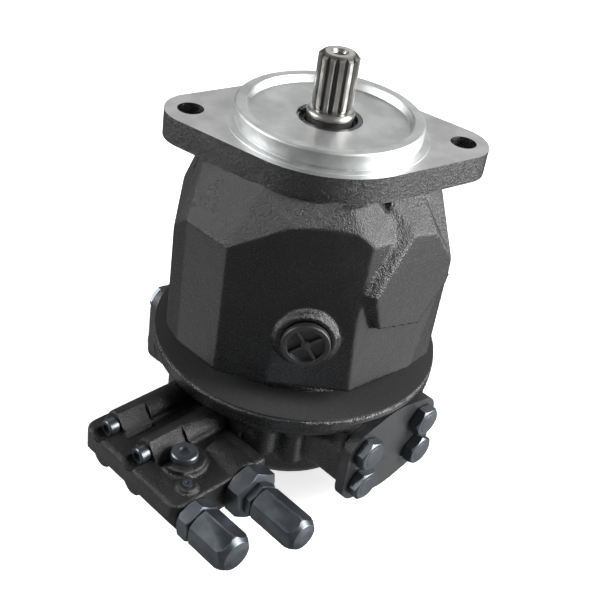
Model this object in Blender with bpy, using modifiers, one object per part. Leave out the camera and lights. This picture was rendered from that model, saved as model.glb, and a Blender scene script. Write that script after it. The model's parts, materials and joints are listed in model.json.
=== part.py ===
import math

import bmesh
import bpy
from mathutils import Matrix, Vector

for old in list(bpy.data.objects):
    bpy.data.objects.remove(old, do_unlink=True)

# driving dimensions, millimetres; z = 0 is the rear face of the port plate, +Z runs up the drive shaft
MM = 0.001
GAP = 0.3
FLANGE_Z = 206.0
FLANGE_T = 15.0
PILOT_R = 50.8
PILOT_H = 9.5
BOLT_X = 73.0
BOLT_R = 7.15
SHAFT_END = 247.3
SPLINE_TEETH = 13
SPLINE_R = 10.9
PARTING_Z = 73.2
RING_R = 84.5
CAVITY_R = 60.0
PORT_LEVEL = 38.0
PORT_FACE = 78.0
B_ANGLE = -45.0
S_ANGLE = 135.0
VALVE_ANGLE = 225.0
PISTONS = 9
PITCH_R = 30.0
PISTON_R = 8.0
BALL_Z = 143.0
BALL_R = 5.8
SHOE_TOP = 150.0
SWASH_R = 42.0
SERVO_R = 50.5
HEX_M10 = 8.5

parts = bpy.data.collections.new("axial_piston_pump")
cutters = bpy.data.collections.new("cutters")
for coll in (parts, cutters):
    bpy.context.scene.collection.children.link(coll)

COLOURS = {
    "housing_paint": ((0.012, 0.012, 0.013, 1), 0.0, 0.4),
    "machined_iron": ((0.52, 0.52, 0.5, 1), 1.0, 0.35),
    "bright_steel": ((0.62, 0.62, 0.6, 1), 1.0, 0.22),
    "dark_steel": ((0.03, 0.035, 0.042, 1), 0.8, 0.38),
    "bronze": ((0.55, 0.33, 0.14, 1), 1.0, 0.35),
    "seal_rubber": ((0.02, 0.02, 0.02, 1), 0.0, 0.7),
    "plug_plastic": ((0.015, 0.015, 0.016, 1), 0.0, 0.45),
    "gasket_fibre": ((0.1, 0.11, 0.1, 1), 0.0, 0.8),
}


def material(part, look):
    colour, metallic, rough = COLOURS[look]
    mat = bpy.data.materials.new(part + "_mat")
    mat.use_nodes = True
    shader = mat.node_tree.nodes["Principled BSDF"]
    shader.inputs["Base Color"].default_value = colour
    shader.inputs["Metallic"].default_value = metallic
    shader.inputs["Roughness"].default_value = rough
    return mat


def direction(angle):
    a = math.radians(angle)
    return Vector((math.cos(a), math.sin(a), 0.0))


def facing(angle):
    """local x runs sideways, local y up the shaft, local z outward at the angle"""
    out = direction(angle)
    side = Vector((0, 0, 1)).cross(out)
    return Matrix((side, Vector((0, 0, 1)), out)).transposed().to_euler()


def place(name, mesh, look, at, turn):
    """give a mesh its object: a part with its material, or a hidden cutter"""
    obj = bpy.data.objects.new(name, mesh)
    obj.location = Vector(at) * MM
    obj.rotation_euler = turn
    if look:
        mesh.materials.append(material(name, look))
        parts.objects.link(obj)
    else:
        cutters.objects.link(obj)
        obj.hide_render = True
        obj.display_type = "WIRE"
    return obj


def finish(name, bm, scale=MM):
    """turn a bmesh into a mesh in metres, its round faces shaded smooth"""
    bmesh.ops.scale(bm, vec=(scale, scale, scale), verts=bm.verts)
    mesh = bpy.data.meshes.new(name)
    bm.to_mesh(mesh)
    bm.free()
    mesh.shade_smooth()
    mesh.set_sharp_from_angle(angle=math.radians(32))
    return mesh


def lathe(name, profile, look=None, seg=32, at=(0, 0, 0), turn=(0, 0, 0), smooth=True):
    """spin (radius, height) points listed from top to bottom on the outer side"""
    verts = [(r * MM, 0, z * MM) for r, z in profile]
    edges = [(i, i + 1) for i in range(len(verts) - 1)]
    if profile[0][0] > 0 or profile[-1][0] > 0:
        edges.append((len(verts) - 1, 0))
    mesh = bpy.data.meshes.new(name)
    mesh.from_pydata(verts, edges, [])
    obj = place(name, mesh, look, at, turn)
    spin = obj.modifiers.new("spin", "SCREW")
    spin.axis = "Z"
    spin.steps = spin.render_steps = seg
    spin.use_merge_vertices = True
    spin.merge_threshold = 0.00001
    spin.use_smooth_shade = smooth
    return obj


def prism(name, outline, low, high, look=None, at=(0, 0, 0), turn=(0, 0, 0)):
    """fill a flat outline as a 2D curve and give it depth from low to high along local z"""
    curve = bpy.data.curves.new(name + "_outline", "CURVE")
    curve.dimensions = "2D"
    curve.fill_mode = "BOTH"
    curve.extrude = (high - low) / 2 * MM
    spline = curve.splines.new("POLY")
    spline.points.add(len(outline) - 1)
    for point, (x, y) in zip(spline.points, outline):
        point.co = (x * MM, y * MM, 0.0, 1.0)
    spline.use_cyclic_u = True
    guide = bpy.data.objects.new(name + "_outline", curve)
    cutters.objects.link(guide)
    graph = bpy.context.evaluated_depsgraph_get()
    filled = bpy.data.meshes.new_from_object(guide.evaluated_get(graph))
    filled.transform(guide.matrix_world @ Matrix.Translation((0, 0, (low + high) / 2 * MM)))
    bpy.data.objects.remove(guide, do_unlink=True)
    bpy.data.curves.remove(curve)
    bm = bmesh.new()
    bm.from_mesh(filled)
    bpy.data.meshes.remove(filled)
    bmesh.ops.remove_doubles(bm, verts=bm.verts, dist=0.00001)
    bmesh.ops.recalc_face_normals(bm, faces=bm.faces)
    return place(name, finish(name, bm, 1.0), look, at, turn)


def circle(r, n=24, cx=0.0, cy=0.0, start=0.0):
    return [
        (cx + r * math.cos(start + math.tau * i / n), cy + r * math.sin(start + math.tau * i / n))
        for i in range(n)
    ]


def rod(name, r, low, high, look=None, seg=24, at=(0, 0, 0), turn=(0, 0, 0)):
    """cylinder of radius r from low to high along local z"""
    bm = bmesh.new()
    middle = Matrix.Translation((0, 0, (low + high) / 2))
    bmesh.ops.create_cone(
        bm, cap_ends=True, segments=seg, radius1=r, radius2=r, depth=high - low, matrix=middle)
    return place(name, finish(name, bm), look, at, turn)


def hexbar(name, across, low, high, look=None, at=(0, 0, 0), turn=(0, 0, 0)):
    """hexagonal bar, measured across its flats"""
    return rod(name, across / 2 / math.cos(math.pi / 6), low, high, look, 6, at, turn)


def box(name, x, y, z, look=None, at=(0, 0, 0), turn=(0, 0, 0)):
    """block between the given limits along each local axis"""
    bm = bmesh.new()
    bmesh.ops.create_cube(bm, size=1.0)
    size = [high - low for low, high in (x, y, z)]
    bmesh.ops.scale(bm, vec=size, verts=bm.verts)
    bmesh.ops.translate(bm, vec=[(low + high) / 2 for low, high in (x, y, z)], verts=bm.verts)
    return place(name, finish(name, bm), look, at, turn)


def tent(name, points, look=None, at=(0, 0, 0), turn=(0, 0, 0)):
    """convex solid stretched over its corner points"""
    bm = bmesh.new()
    for point in points:
        bm.verts.new(point)
    bmesh.ops.convex_hull(bm, input=bm.verts)
    bmesh.ops.delete(bm, geom=[v for v in bm.verts if not v.link_faces], context="VERTS")
    bmesh.ops.recalc_face_normals(bm, faces=bm.faces)
    return place(name, finish(name, bm), look, at, turn)


def rounded(x0, x1, y0, y1, radii, steps=3):
    """rectangle with its corner radii listed from the lower left, anticlockwise"""
    corners = [(x0, y0, 180), (x1, y0, 270), (x1, y1, 0), (x0, y1, 90)]
    points = []
    for (x, y, start), r in zip(corners, radii):
        cx = x + r if x == x0 else x - r
        cy = y + r if y == y0 else y - r
        for i in range(steps + 1 if r else 1):
            a = math.radians(start + 90.0 * i / steps)
            points.append((cx + r * math.cos(a), cy + r * math.sin(a)))
    return points


def combine(obj, others, how):
    for other in others:
        step = obj.modifiers.new(how.lower(), "BOOLEAN")
        step.operation = how
        step.solver = "EXACT"
        step.object = other
    return obj


def join(obj, *others):
    return combine(obj, others, "UNION")


def cut(obj, *others):
    return combine(obj, others, "DIFFERENCE")


def hull(points):
    points = sorted(set(points))

    def half(seq):
        chain = []
        for p in seq:
            while len(chain) > 1 and (
                (chain[-1][0] - chain[-2][0]) * (p[1] - chain[-2][1])
                - (chain[-1][1] - chain[-2][1]) * (p[0] - chain[-2][0])
            ) <= 1e-9:
                chain.pop()
            chain.append(p)
        return chain[:-1]

    return half(points) + half(points[::-1])


# ---- housing: mounting flange, pilot, bell and pads as one casting
ends = [c for s in (1, -1) for c in circle(20.0, 16, s * 67.0, 0.0)]
flange_outline = hull([(round(x, 6), round(y, 6)) for x, y in ends + circle(58.5, 36)])
FOOT = [(0, 92), (75.5, 92), (79, 86), (84.2, 80.5), (RING_R, 79), (RING_R, PARTING_Z), (0, PARTING_Z)]
# corners of the bell at the front; the rear mirrors them
FRONT = [(-45.6, -64.7, 84), (-45.6, -64.7, 163.5), (-18, -71, 84), (-18, -71, 120), (28, -71, 84), (25, -70.3, 124),
         (27, -65.3, 174), (-30.6, -63.5, 171), (-16, -66.2, 179.5), (5, -66.6, 181.3), (20, -65.6, 179)]
# walls at an angle: (reach, sideways from, sideways to, height)
WALLS = {
    -135: [(78, -18, 13.5, 84), (78, -18, 13.5, 163.5)],
    -52: [(73, -20, 22, 84), (71, -22, 22, 122), (69.5, -20, 22, 149), (67.4, -18.4, 12, 174)],
    0: [(75.5, -28, 0, 84), (75.5, -28, 0, 150)],
    180: [(75.5, 0, 28, 84), (75.5, 0, 28, 150)],
}
corners = [(x, y, 193.0) for x, y in circle(57, 36)]
half = list(FRONT)
for a, spots in WALLS.items():
    out, side = direction(a), direction(a + 90)
    for reach, t0, t1, z in spots:
        half += [tuple(out * reach + side * t + Vector((0, 0, z))) for t in (t0, t1)]
corners += half + [(x, -y, z) for x, y, z in half if abs(y) > 0.01]
housing = tent("housing", corners, "housing_paint")
foot = lathe("foot", FOOT, None, 48)


def fin(name, angle, outline, t0, t1):
    """slice of radial section, thick from t0 to t1 across its direction"""
    out, up = direction(angle), Vector((0, 0, 1))
    turn = Matrix((out, up, out.cross(up))).transposed().to_euler()
    return prism(name, outline, t0, t1, None, turn=turn)


# raised pad over each cradle bearing: (sideways, height, reach) around its face, then its neck
PAD = [(2.8, 177, 71.8), (19.8, 174.1, 72), (35.6, 153.5, 73.7), (35, 140.8, 74.8), (16.2, 119.2, 76.6),
       (-14, 125.4, 76), (-19.5, 145.7, 74.4), (-7, 164, 72.8)]
NECK = [(-4.5, 57.6), (17, 59)]
# groove beside it, one convex part in the roof and one in the wall: (sideways, height, reach)
GROOVE = [[(-10.6, 192.2, 53), (0.4, 174.8, 63.3)], [(0.4, 175.2, 63.2), (-1, 160, 64.8), (-1, 146, 70.6)]]
pads, grooves = [], []
for i, (a, flip) in enumerate(((-50, 1), (50, -1))):
    points = [(flip * t, z, reach) for t, z, reach in PAD]
    points += [(flip * (t - 2.5 if t < 0 else t), z, 66) for t, z, reach in PAD]
    points += [(flip * t, z, 50) for t, z, reach in PAD]
    points += [(flip * t, 190.7, reach - deep) for t, reach in NECK for deep in (0, 12)]
    pads.append(tent(f"cradle_pad_{i}", points, None, turn=facing(a)))
    for part, spots in enumerate(GROOVE):
        points = [(flip * u, z, r) for t, z, reach in spots for u in (t, 5) for r in (reach, 90)]
        grooves.append(tent(f"groove_{i}_{part}", points, None, turn=facing(a - 2 * flip)))
cut(housing, *grooves)
drain_bosses = [
    rod(f"drain_boss_{i}", 16.5, 62, 75.5, None, 24, (0, 0, 118), facing(a))
    for i, a in enumerate((-90, 90))
]
flange = prism("flange_plate", flange_outline, FLANGE_Z - FLANGE_T, FLANGE_Z, None)
pilot = rod("pilot", PILOT_R, FLANGE_Z - 2, FLANGE_Z + PILOT_H, None, 48)
join(housing, foot, *pads, *drain_bosses, flange, pilot)
cavity = lathe(
    "cavity",
    [
        (0, 216.5),
        (44.0, 216.5),
        (44.0, 211.5),
        (17.6, 211.5),
        (17.6, 202.3),
        (26.3, 202.3),
        (26.3, 184.0),
        (24.0, 160.0),
        (CAVITY_R, 160.0),
        (CAVITY_R, 60.0),
        (0, 60.0),
    ],
    None,
    40,
)
cradle_bore = rod("cradle_bore", 43.9, -46, 46, None, 40, (0, 0, BALL_Z), facing(B_ANGLE))
bolt_holes = [
    rod(f"bolt_hole_{i}", BOLT_R, 180, 215, None, 24, (x, 0, 0))
    for i, x in enumerate((-BOLT_X, BOLT_X))
]
drain_holes = [
    rod(f"drain_hole_{i}", 10.3, 50, 80, None, 24, (0, 0, 118), facing(a))
    for i, a in enumerate((-90, 90))
]
cut(housing, cavity, cradle_bore, *bolt_holes, *drain_holes)

for name, a in (("drain_plug_front", -90), ("drain_plug_rear", 90)):
    plug = lathe(
        name,
        [(0, 77.6), (9.5, 77.6), (9.5, 78.9), (13, 78.9), (13, 75.8), (10.0, 75.8), (10.0, 63), (0, 63)],
        "plug_plastic",
        20,
        (0, 0, 118),
        facing(a),
    )
    join(plug, box(name + "_rib", (-9.7, 9.7), (-1.2, 1.2), (77.0, 78.9), None, (0, 0, 118), facing(a)))
    join(plug, box(name + "_rib2", (-1.2, 1.2), (-9.7, 9.7), (77.0, 78.9), None, (0, 0, 118), facing(a)))

# ---- port plate with its suction, pressure and valve faces
port_plate = lathe(
    "port_plate",
    [(0, 72.0), (RING_R, 72.0), (RING_R, 63), (80, 59.5), (62, 50), (58, 20), (54, 5), (50, 0), (0, 0)],
    "housing_paint",
    48,
)
arms = [
    prism("b_arm", rounded(-31, 31, 9, 68, (16, 16, 0, 0)), -7, PORT_FACE, None, turn=facing(B_ANGLE)),
    prism("s_arm", rounded(-40, 40, 6, 70, (18, 18, 0, 0)), -9, PORT_FACE, None, turn=facing(S_ANGLE)),
    prism("valve_pad", rounded(-31, 31, 26, 60, (8, 8, 0, 0)), -11, 71.7, None, turn=facing(VALVE_ANGLE)),
]
join(port_plate, *arms)
SERVOS = {"control": 225.0, "bias": 45.0}
for name, a in SERVOS.items():
    spot = direction(a) * SERVO_R
    join(port_plate, lathe(f"{name}_sleeve", [(8.8, 110), (8.8, 69), (7.3, 69), (7.3, 110)], None, 16,
                           (spot.x, spot.y, 0)))
plate_cutters = [
    lathe("valve_plate_seat",
          [(0, 74), (41.69, 74), (41.69, 66), (23.5, 66), (23.5, 41.7), (14, 41.7), (14, 39), (0, 39)], None, 32),
]
plate_cutters.append(
    box("valve_spot_face", (-60, 34), (20, 59.2), (71.7, 95), None, turn=facing(VALVE_ANGLE)))
for name, angle, bore, drop, d_patt, h_patt, top in (
    ("b", B_ANGLE, 9.5, 5.5, 23.8, 11.1, 67.6),
    ("s", S_ANGLE, 15.9, 6.5, 29.35, 15.1, 68.6),
):
    plate_cutters.append(
        box(f"{name}_spot_face", (-46, 46), (-5, top), (PORT_FACE, 95), None, turn=facing(angle)))
    plate_cutters.append(rod(f"{name}_bore", bore, 27, 90, None, 24, (0, 0, PORT_LEVEL), facing(angle)))
    centre = direction(angle) * 33.0
    plate_cutters.append(rod(f"{name}_drop", drop, PORT_LEVEL, 70, None, 16, (centre.x, centre.y, 0)))
    for i, (sx, sz) in enumerate(((-1, -1), (1, -1), (1, 1), (-1, 1))):
        side = direction(angle + 90) * (sx * d_patt)
        plate_cutters.append(
            rod(f"{name}_tap_{i}", 5.3, 60, 90, None, 12,
                (side.x, side.y, PORT_LEVEL + sz * h_patt), facing(angle))
        )
cut(port_plate, *plate_cutters)

cover_specs = {
    "b_port": (B_ANGLE, 23.8, 11.1, 13.5, 29.0, "b_port_cover"),
    "s_port": (S_ANGLE, 29.35, 15.1, 13.5, 30.0, "s_port_cover"),
}
for port, (angle, d_patt, h_patt, corner, tall, name) in cover_specs.items():
    spots = [(sx * d_patt, sz * h_patt) for sx, sz in ((-1, -1), (1, -1), (1, 1), (-1, 1))]
    ring = [p for x, y in spots for p in circle(corner, 16, x, y)]
    ring += [(x, s * tall) for s in (1, -1) for x in (-12, 12)]
    outline = hull([(round(x, 5), round(y, 5)) for x, y in ring])
    cover = prism(name, outline, PORT_FACE + GAP, PORT_FACE + 6.3, "housing_paint",
                  (0, 0, PORT_LEVEL), facing(angle))
    for i, (x, y) in enumerate(spots):
        side = direction(angle + 90) * x
        spot = (side.x, side.y, PORT_LEVEL + y)
        cut(cover, rod(f"{name}_hole_{i}", 5.3, 70, 95, None, 12, spot, facing(angle)))
        bolt = hexbar(f"{port}_bolt_{i + 1}", 2 * HEX_M10, PORT_FACE + 6.6, PORT_FACE + 13.0,
                     "dark_steel", spot, facing(angle))
        join(bolt, rod(f"{port}_shank_{i}", 5.0, 61, PORT_FACE + 8, None, 12, spot, facing(angle)))

# ---- joint, bearings and seals
gasket = lathe(
    "housing_gasket",
    [(RING_R - 1, 72.9), (RING_R - 1, 72.3), (60.6, 72.3), (60.6, 72.9)],
    "gasket_fibre",
    36,
)
lathe("shaft_seal", [(17.2, 210), (17.2, 203), (12.8, 203), (12.8, 207), (14.5, 207), (14.5, 210)],
      "seal_rubber", 32)
snap = prism(
    "seal_snap_ring",
    [(r * math.cos(math.radians(a)), r * math.sin(math.radians(a)))
     for r, span in ((17.2, range(-160, 161, 16)), (15.0, range(160, -161, -16))) for a in span],
    210.3, 211.3, "dark_steel",
)
lathe("front_bearing_cup", [(26.0, 202.0), (26.0, 187.2), (21.0, 187.2), (23.5, 202.0)], "bright_steel", 36)
lathe("front_bearing_cone", [(22.4, 202.0), (19.9, 187.2), (15.8, 187.2), (15.8, 202.0)], "bright_steel", 36)
lathe("rear_bearing_cup", [(23.2, 60.0), (23.2, 44.0), (20.6, 44.0), (19.0, 60.0)], "bright_steel", 32)
lathe("rear_bearing_cone", [(18.6, 60.0), (20.0, 44.0), (11.3, 44.0), (11.3, 60.0)], "bright_steel", 32)
for i, off in enumerate((-40.0, 24.0)):
    arc = range(42, 139, 8)
    outline = [(r * math.cos(math.radians(a)), r * math.sin(math.radians(a)))
               for r, span in ((43.6, arc), (SWASH_R + GAP, reversed(arc))) for a in span]
    prism(f"cradle_bearing_{i + 1}", outline, off, off + 16, "bronze", (0, 0, BALL_Z), facing(B_ANGLE))

# ---- drive shaft with its thirteen-tooth spline
shaft = lathe(
    "drive_shaft",
    [
        (3.2, SHAFT_END - 1.5),
        (4.2, SHAFT_END),
        (8.6, SHAFT_END),
        (9.4, SHAFT_END - 1.5),
        (9.4, 221.0),
        (12.5, 216.5),
        (12.5, 202.3),
        (15.5, 202.3),
        (15.5, 184.0),
        (13.0, 180.0),
        (13.0, 78.0),
        (11.0, 74.0),
        (11.0, 42.0),
        (0, 42.0),
        (0, 232.0),
        (3.2, 234.0),
    ],
    "bright_steel",
    32,
)
outline = []
for t in range(SPLINE_TEETH):
    mid = math.tau * t / SPLINE_TEETH
    for da, r in ((-0.155, 9.2), (-0.085, SPLINE_R), (0.085, SPLINE_R), (0.155, 9.2)):
        outline.append((r * math.cos(mid + da), r * math.sin(mid + da)))
spline = prism("spline_teeth", outline, 219.0, SHAFT_END - 1.6)
cut(spline, rod("spline_core", 6.0, 200, 260, None, 16))
join(shaft, spline)

# ---- rotating group
valve_plate = rod("valve_plate", 41.2, 66.3, 70.0, "bronze", 36)
cut(valve_plate, rod("valve_plate_hole", 14.5, 60, 80))
for i, a in enumerate((B_ANGLE, S_ANGLE)):
    span = range(-55, 56, 11)
    outline = [(r * math.cos(math.radians(a + d)), r * math.sin(math.radians(a + d)))
               for r, seq in ((35, span), (26, reversed(span))) for d in seq]
    cut(valve_plate, prism(f"kidney_{i}", outline, 60, 80))
barrel = lathe("cylinder_barrel", [(40.5, 125), (40.5, 70.3), (13.3, 70.3), (13.3, 125)], "bright_steel", 36)
for k in range(PISTONS):
    theta = 360.0 * k / PISTONS + 90.0
    spot = direction(theta) * PITCH_R
    here = (spot.x, spot.y, 0)
    cut(barrel, rod(f"bore_{k}", PISTON_R + 0.35, 78, 130, None, 12, here))
    cut(barrel, rod(f"bore_port_{k}", 4.6, 65, 80, None, 8, here))
    lathe(
        f"piston_{k + 1}",
        [(0, BALL_Z + BALL_R), (4.1, BALL_Z + 4.1), (BALL_R, BALL_Z), (4.6, BALL_Z - 3.6),
         (4.2, BALL_Z - 8.5), (PISTON_R, BALL_Z - 10.5), (PISTON_R, 86), (0, 86)],
        "bright_steel",
        12,
        here,
    )
    lathe(
        f"slipper_{k + 1}",
        [(1.5, SHOE_TOP), (9.7, SHOE_TOP), (9.7, 147.2), (7.9, 146.6), (7.9, 140.6), (5.9, 140.6),
         (6.2, BALL_Z), (4.5, BALL_Z + 4.5), (1.5, BALL_Z + 6.2)],
        "bronze",
        10,
        here,
    )
retaining = rod("retaining_plate", 40.0, 143.0, 146.2, "bright_steel", 27)
for k in range(PISTONS):
    spot = direction(360.0 * k / PISTONS + 90.0) * PITCH_R
    cut(retaining, rod(f"shoe_hole_{k}", 8.6, 140, 150, None, 10, (spot.x, spot.y, 0)))
cut(retaining, rod("guide_hole", 19.0, 140, 150))
lathe("ball_guide", [(16.0, 147.5), (18.4, 144.6), (18.6, 142.0), (17.4, 137.0), (15.5, 126.0), (13.3, 126.0),
                     (13.3, 147.5)], "bright_steel", 28)

swash = lathe("swashplate", [(0, 159.6), (44, 159.6), (44, SHOE_TOP + GAP), (0, SHOE_TOP + GAP)],
              "machined_iron", 40)
rocker = rod("rocker", SWASH_R, -40, 40, None, 40, (0, 0, BALL_Z), facing(B_ANGLE))
cut(rocker, box("rocker_trim", (-60, 60), (-60, 9), (-50, 50), None, (0, 0, BALL_Z), facing(B_ANGLE)))
join(swash, rocker)
for i, a in enumerate(SERVOS.values()):
    join(swash, box(f"servo_arm_{i}", (-7, 7), (SHOE_TOP + GAP, 159.5), (30, 57), None, turn=facing(a)))
cut(swash, rod("swash_hole", 17.5, 140, 200))
for name, a in SERVOS.items():
    spot = direction(a) * SERVO_R
    lathe(f"{name}_piston", [(0, SHOE_TOP), (4, SHOE_TOP - 1), (7.0, SHOE_TOP - 5), (7.0, 80), (0, 80)],
          "bright_steel", 20, (spot.x, spot.y, 0))

# ---- control valve on the side of the port plate
OUT = direction(VALVE_ANGLE)
ALONG = direction(B_ANGLE)
VALVE_LOW, VALVE_HIGH = 27.7, 48.5
SCREW_Z = 50.0


def uv(u, v):
    p = OUT * u + ALONG * v
    return (p.x, p.y)


def slab_outline(u0, u1, v0, v1, radii):
    return [uv(u, v) for u, v in rounded(u0, u1, v0, v1, radii)]


valve = prism("valve_body", slab_outline(72, 135, -25, 55, (0, 7, 7, 0)), VALVE_LOW, VALVE_HIGH, "housing_paint")
screw_lines = (-13.0, 14.0)
for i, v in enumerate(screw_lines):
    spot = ALONG * v
    ridge = rod(f"screw_ridge_{i}", 8.0, 72, 122, None, 20, (spot.x, spot.y, SCREW_Z), facing(VALVE_ANGLE))
    join(valve, ridge)
    cut(valve, box(f"head_seat_{i}", (-5.4, 5.4), (-4.9, 12), (122.0, 140), None, (spot.x, spot.y, SCREW_Z),
                   facing(VALVE_ANGLE)))
x_boss = uv(109.5, 30.5)
join(valve, rod("x_boss", 12, 40, 52.5, None, 24, (x_boss[0], x_boss[1], 0)))
for i, (u, bore) in enumerate(((124.0, 5.6), (88.0, 5.6))):
    spot = OUT * u
    here = (spot.x, spot.y, PORT_LEVEL)
    cut(valve, rod(f"spool_bore_{i}", bore, -18, 60, None, 16, here, facing(B_ANGLE)))
    cut(valve, rod(f"adjuster_bore_{i}", 8.3, 42, 60, None, 20, here, facing(B_ANGLE)))
for i, v in enumerate(screw_lines):
    spot = ALONG * v
    cut(valve, rod(f"screw_bore_{i}", 3.3, 60, 130, None, 12, (spot.x, spot.y, SCREW_Z), facing(VALVE_ANGLE)))
    cut(port_plate, rod(f"screw_tap_{i}", 3.3, 55, 80, None, 12, (spot.x, spot.y, SCREW_Z), facing(VALVE_ANGLE)))
    screw = rod(f"valve_screw_{i + 1}", 4.7, 122.3, 128.3, "dark_steel", 20, (spot.x, spot.y, SCREW_Z),
                facing(VALVE_ANGLE))
    cut(screw, hexbar(f"hex_socket_{i}", 5.0, 125.3, 130, None, (spot.x, spot.y, SCREW_Z),
                     facing(VALVE_ANGLE)))
    join(screw, rod(f"screw_shank_{i}", 3.0, 57, 124, None, 12, (spot.x, spot.y, SCREW_Z), facing(VALVE_ANGLE)))
cut(valve, rod("x_bore", 5.3, 44, 60, None, 16, (x_boss[0], x_boss[1], 0)))
x_plug = lathe("x_port_plug", [(0, 55.3), (2.6, 55.3), (2.6, 56.3), (7.5, 56.3), (7.5, 52.8), (5.0, 52.8),
                               (5.0, 45.5), (0, 45.5)], "dark_steel", 20, (x_boss[0], x_boss[1], 0))
for name, u, nut, cap, v_cap, v_end in (
    ("pressure", 88.0, 27.0, 18.0, 71.0, 103.0),
    ("flow", 124.0, 21.0, 20.0, 64.3, 91.0),
):
    spot = OUT * u
    here = (spot.x, spot.y, PORT_LEVEL)
    lathe(f"{name}_spool",
          [(0, 38), (5.3, 38), (5.3, 26), (3.2, 25), (3.2, 12), (5.3, 11), (5.3, -4), (3.2, -5), (3.2, -9),
           (5.3, -10), (5.3, -14.5), (0, -14.5)],
          "bright_steel", 16, here, facing(B_ANGLE))
    collar = hexbar(f"{name}_adjuster_body", nut, 55.3, v_cap - 0.3, "dark_steel", here, facing(B_ANGLE))
    join(collar, rod(f"{name}_neck", 8.0, 43, 57, None, 20, here, facing(B_ANGLE)))
    cut(collar, rod(f"{name}_collar_bore", 4.4, 40, 80, None, 16, here, facing(B_ANGLE)))
    across = cap / 2 / math.cos(math.pi / 6)
    acorn = hexbar(f"{name}_adjuster_cap", cap, v_cap, v_end, "dark_steel", here, facing(B_ANGLE))
    tip = lathe(f"{name}_tip",
                [(0, v_end + 1), (across * 0.62, v_end), (across * 0.9, v_end - 3.5), (across + 0.1, v_end - 7),
                 (across + 0.1, 40), (0, 40)], None, 24, here, facing(B_ANGLE))
    trim = acorn.modifiers.new("trim", "BOOLEAN")
    trim.operation = "INTERSECT"
    trim.solver = "EXACT"
    trim.object = tip
    join(acorn, rod(f"{name}_stem", 4.1, 46, v_cap + 3, None, 16, here, facing(B_ANGLE)))
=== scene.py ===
import json
import math

import bmesh
import bpy
from mathutils import Matrix, Vector


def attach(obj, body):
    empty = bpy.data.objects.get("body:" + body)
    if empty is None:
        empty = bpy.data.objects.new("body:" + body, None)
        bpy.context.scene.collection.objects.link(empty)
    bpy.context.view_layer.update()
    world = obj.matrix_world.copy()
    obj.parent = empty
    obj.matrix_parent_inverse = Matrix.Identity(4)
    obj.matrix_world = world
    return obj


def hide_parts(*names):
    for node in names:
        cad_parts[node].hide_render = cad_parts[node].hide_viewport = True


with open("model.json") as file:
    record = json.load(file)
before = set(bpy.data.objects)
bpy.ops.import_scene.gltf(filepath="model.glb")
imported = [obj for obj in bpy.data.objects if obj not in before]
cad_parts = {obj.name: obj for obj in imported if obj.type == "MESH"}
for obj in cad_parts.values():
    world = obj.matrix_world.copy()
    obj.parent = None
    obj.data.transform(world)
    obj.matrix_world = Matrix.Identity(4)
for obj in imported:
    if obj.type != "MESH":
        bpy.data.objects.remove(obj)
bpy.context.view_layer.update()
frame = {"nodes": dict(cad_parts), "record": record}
mm = 0.001
flangeZ, pilotR, shaftEnd = 206.0, 50.8, 247.3  # mounting face, spigot radius, shaft tip
portLevel, portFace = 38.0, 78.0  # height of the ports, and their faces' distance from the shaft
bAngle, sAngle, valveAngle = -45.0, 135.0, 225.0  # directions of pressure port, suction port and valve
scene = bpy.context.scene
print("frame loaded")


cameraSize = {"azimuth": -4.9, "elevation": 34.31, "roll": 9.23, "lens": 63.0, "sensor": 36.0,
              "at": (-0.04375, -0.51008, 0.44207)}
az, el, roll = (math.radians(cameraSize[part]) for part in ("azimuth", "elevation", "roll"))
back = Vector((math.sin(az) * math.cos(el), -math.cos(az) * math.cos(el), math.sin(el)))
right = Vector((math.cos(az), math.sin(az), 0))
up = back.cross(right)
right, up = right * math.cos(roll) + up * math.sin(roll), up * math.cos(roll) - right * math.sin(roll)
lens = bpy.data.cameras.new("camera")
lens.lens = cameraSize["lens"]
lens.sensor_width = cameraSize["sensor"]
camera = bpy.data.objects.new("camera", lens)
turn = Matrix((right, up, back)).transposed().to_4x4()
camera.matrix_world = Matrix.Translation(Vector(cameraSize["at"])) @ turn
scene.collection.objects.link(camera)
scene.camera = camera
scene.view_settings.view_transform = "Standard"


# each light: place and size in metres, power in watts
lightSize = {
    "rightLight": ((1.15, -0.25, 0.55), (0.75, 1.1), 48),
    "leftLight": ((-1.15, -0.1, 0.6), (0.6, 0.6), 15),
    "backLight": ((0.1, 1.25, 0.95), (1.6, 1.0), 3.8),
    "rightGlow": ((0.8, -0.25, -0.42), (1.1, 0.6), 1.7),
    "leftGlow": ((-0.85, -0.05, -0.42), (0.6, 0.6), 0.5),
}
lightTarget, worldStrength = (0, 0, 0.11), 0.15
for name, (at, size, power) in lightSize.items():
    lamp = bpy.data.lights.new(name, "AREA")
    lamp.shape = "RECTANGLE"
    lamp.size, lamp.size_y = size
    lamp.energy = power
    light = bpy.data.objects.new(name, lamp)
    light.location = at
    light.rotation_euler = (Vector(at) - Vector(lightTarget)).to_track_quat("Z", "Y").to_euler()
    scene.collection.objects.link(light)
world = bpy.data.worlds.new("studio")
world.use_nodes = True
world.node_tree.nodes["Background"].inputs["Color"].default_value = (1, 1, 1, 1)
world.node_tree.nodes["Background"].inputs["Strength"].default_value = worldStrength
scene.world = world
print("camera and lights ready")


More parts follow.
